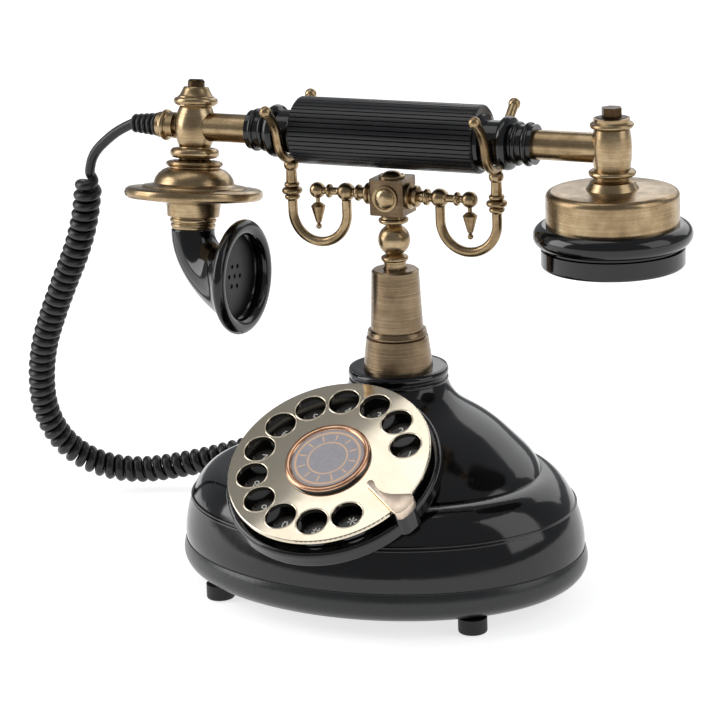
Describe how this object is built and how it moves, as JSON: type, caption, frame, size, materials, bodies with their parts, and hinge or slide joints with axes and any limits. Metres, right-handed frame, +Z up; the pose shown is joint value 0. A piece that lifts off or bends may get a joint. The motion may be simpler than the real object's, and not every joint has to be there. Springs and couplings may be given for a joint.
{
  "type": "rotary telephone",
  "caption": "Antique style rotary telephone: oval base with tilted finger dial, brass column and forked cradle, lift-off handset with mouthpiece elbow, earpiece and curly cord.",
  "frame": {"origin": "on the table under the middle of the object's box without its cord", "axes": "+Z up, -Y towards the dial's user, +X towards the earpiece"},
  "size_m": [0.3249, 0.1791, 0.2065],
  "materials": {
    "gloss_black": "polished",
    "satin_black": "satin",
    "antique_brass": "brushed antique",
    "pale_gold": "satin",
    "copper": "satin",
    "grey_card": "matte",
    "black_grip": "ribbed satin",
    "dark_bronze": "dark",
    "black_rubber": "matte",
    "cord_black": "satin",
    "steel": "plain",
    "circuit_green": "satin"
  },
  "bodies": {
    "base": {"base_shell": "gloss_black", "dial_housing": "gloss_black", "base_tray": "satin_black", "number_plate": "satin_black", "ringer": "satin_black", "hook_switch": "satin_black", "stem_bush": "satin_black", "line_jack": "satin_black", "column_skirt": "antique_brass", "column_sleeve": "antique_brass", "finger_stop": "pale_gold", "rubber_feet": "black_rubber", "cord_gland": "black_rubber", "cord_lead": "cord_black", "cord_coil": "cord_black", "cord_tail": "cord_black", "base_screws": "steel", "column_nut": "steel", "dial_frame": "steel", "contact_springs": "steel", "return_spring": "steel", "hook_spring": "steel", "circuit_board": "circuit_green"},
    "dial": {"finger_wheel": "pale_gold", "hub_bezel": "copper", "hub_card": "grey_card", "dial_shaft": "steel", "main_gear": "antique_brass"},
    "pulse_drive": {"pulse_pinion": "antique_brass"},
    "cradle": {"cradle_stem": "antique_brass", "cradle_block": "antique_brass", "block_bosses": "antique_brass", "left_arm": "antique_brass", "right_arm": "antique_brass", "left_drop": "antique_brass", "right_drop": "antique_brass", "left_hook": "antique_brass", "right_hook": "antique_brass", "left_fork": "antique_brass", "right_fork": "antique_brass"},
    "handset": {"grip": "black_grip", "mouth_ferrule": "gloss_black", "ear_ferrule": "gloss_black", "handset_tube": "antique_brass", "mouth_body": "antique_brass", "mouth_cap": "antique_brass", "slotted_screw": "dark_bronze", "cord_boss": "antique_brass", "strain_relief": "black_rubber", "mouth_disc": "antique_brass", "mouth_elbow": "gloss_black", "mouth_grille": "satin_black", "microphone": "satin_black", "ear_barrel": "antique_brass", "ear_bolt": "dark_bronze", "ear_cap": "antique_brass", "ear_ring": "gloss_black", "ear_plate": "satin_black", "receiver": "satin_black"}
  },
  "joints": [
    {"name": "handset_lift", "type": "slide", "parent": "base", "child": "handset", "axis": [0, 0, 1], "range_m": [0, 0.12], "deforming": ["cord_lead", "cord_coil"]},
    {"name": "cradle_hook", "type": "slide", "parent": "base", "child": "cradle", "axis": [0, 0, 1], "range_m": [0, 0.005], "deforming": ["hook_spring"]},
    {"name": "dial_turn", "type": "hinge", "parent": "base", "child": "dial", "pos_m": [-0.0037, -0.0399, 0.0686], "axis": [0, -0.5225, 0.8526], "range_deg": [-335, 0], "stiffness_Nm_per_rad": 0.01},
    {"name": "pulse_turn", "type": "hinge", "parent": "base", "child": "pulse_drive", "pos_m": [0.0123, -0.0399, 0.0686], "axis": [0, -0.5225, 0.8526], "range_deg": [-1, 1006]}
  ],
  "couplings": [
    {"joint": "cradle_hook", "follows": "handset_lift", "ratio": 0.041667},
    {"joint": "pulse_turn", "follows": "dial_turn", "ratio": -3}
  ]
}
